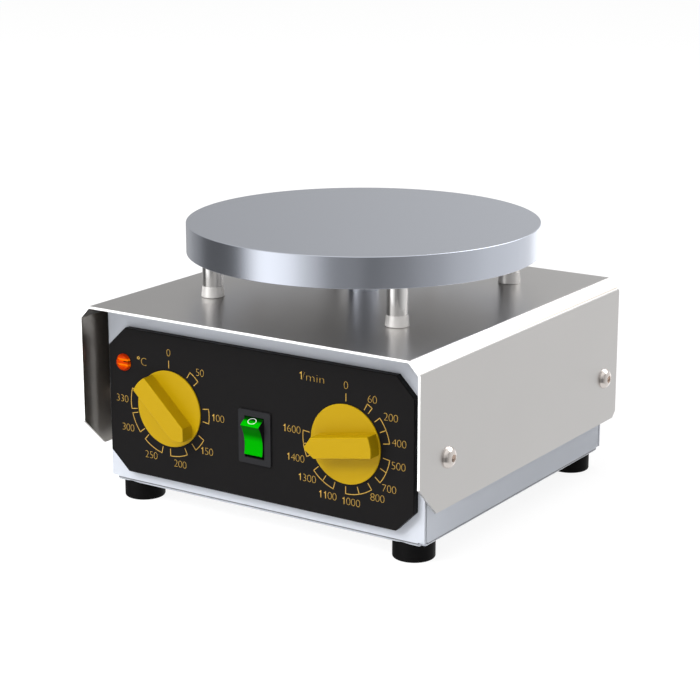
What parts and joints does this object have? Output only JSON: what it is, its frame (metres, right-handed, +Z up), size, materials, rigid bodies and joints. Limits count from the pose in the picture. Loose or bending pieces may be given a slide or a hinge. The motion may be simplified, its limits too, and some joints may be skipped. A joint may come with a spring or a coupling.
{
  "type": "hotplate magnetic stirrer",
  "caption": "Hotplate magnetic stirrer: round heating plate on posts over a folded steel housing, with temperature and speed knobs, a rocker switch and a lamp on the front.",
  "frame": {"origin": "on the bench, below the middle of the folded cover", "axes": "+X to the right along the front, +Y to the back, +Z up out of the heating plate"},
  "size_m": [0.1758, 0.172, 0.1199],
  "materials": {
    "cover_steel": "satin stainless sheet",
    "chassis_steel": "light bluish grey, clear coated",
    "panel_black": "satin black",
    "plate_aluminium": "fine turned, satin",
    "post_steel": "polished",
    "collar_aluminium": "bright satin",
    "screw_steel": "polished steel",
    "knob_yellow": "satin golden yellow",
    "rocker_green": "glossy green",
    "bezel_grey": "dark grey",
    "lamp_orange": "orange red lens",
    "foot_rubber": "black rubber",
    "inner_steel": "plain steel",
    "insulation_white": "ceramic fibre",
    "copper": "copper",
    "magnet_ferrite": "ferrite",
    "carrier_aluminium": "milled",
    "bush_bronze": "sintered bronze",
    "contact_brass": "plated brass",
    "moulding_black": "black moulding",
    "board_green": "glass-fibre board",
    "standoff_nylon": "natural nylon",
    "transformer_resin": "potted block",
    "capacitor_sleeve": "sleeved can"
  },
  "bodies": {
    "housing": {"backing_screws": "screw_steel", "board_standoffs": "standoff_nylon", "capacitors": "capacitor_sleeve", "chassis": "chassis_steel", "control_board": "board_green", "cover": "cover_steel", "cover_nuts": "screw_steel", "cover_screws": "screw_steel", "cover_spacers": "screw_steel", "foot_front_left": "foot_rubber", "foot_front_right": "foot_rubber", "foot_nuts": "screw_steel", "foot_rear_left": "foot_rubber", "foot_rear_right": "foot_rubber", "foot_screws": "screw_steel", "front_panel": "panel_black", "fuse_drawer": "moulding_black", "heater_backing_plate": "inner_steel", "heater_element": "inner_steel", "heater_leads": "copper", "heating_plate": "plate_aluminium", "inlet_housing": "moulding_black", "inlet_pins": "contact_brass", "inlet_screws": "screw_steel", "insulation_disc": "insulation_white", "lamp_body": "moulding_black", "lamp_lens": "lamp_orange", "lead_tube": "plate_aluminium", "lead_tube_clip": "screw_steel", "motor_bracket": "inner_steel", "motor_bushes": "bush_bronze", "motor_can": "inner_steel", "motor_end_bell": "inner_steel", "motor_screws": "screw_steel", "motor_stator": "magnet_ferrite", "post_collars": "collar_aluminium", "post_front_left": "post_steel", "post_front_right": "post_steel", "post_nuts": "screw_steel", "post_rear_left": "post_steel", "post_rear_right": "post_steel", "potentiometer_body": "inner_steel", "potentiometer_nut": "screw_steel", "switch_housing": "bezel_grey", "switch_terminals": "contact_brass", "temperature_probe": "copper", "terminal_block": "moulding_black", "thermostat_body": "inner_steel", "thermostat_screws": "screw_steel", "transformer": "transformer_resin"},
    "temperature": {"temperature_knob": "knob_yellow", "thermostat_spindle": "inner_steel"},
    "speed": {"speed_knob": "knob_yellow", "potentiometer_shaft": "inner_steel"},
    "rocker": {"switch_rocker": "rocker_green"},
    "rotor": {"motor_shaft": "inner_steel", "motor_core": "inner_steel", "magnet_carrier": "carrier_aluminium", "magnets": "magnet_ferrite", "carrier_set_screw": "screw_steel"}
  },
  "joints": [
    {"name": "temperature_turn", "type": "hinge", "parent": "housing", "child": "temperature", "pos_m": [-0.045, -0.0765, 0.04645], "axis": [0, 1, 0], "range_deg": [-133.5, 153]},
    {"name": "speed_turn", "type": "hinge", "parent": "housing", "child": "speed", "pos_m": [0.045, -0.0765, 0.04645], "axis": [0, 1, 0], "range_deg": [-260, 20]},
    {"name": "rocker_tip", "type": "hinge", "parent": "housing", "child": "rocker", "pos_m": [0, -0.0754, 0.04145], "axis": [-1, 0, 0], "range_deg": [0, 21.4]},
    {"name": "rotor_spin", "type": "hinge", "parent": "housing", "child": "rotor", "pos_m": [0, 0.0053, 0.04], "axis": [0, 0, 1], "continuous": true}
  ]
}
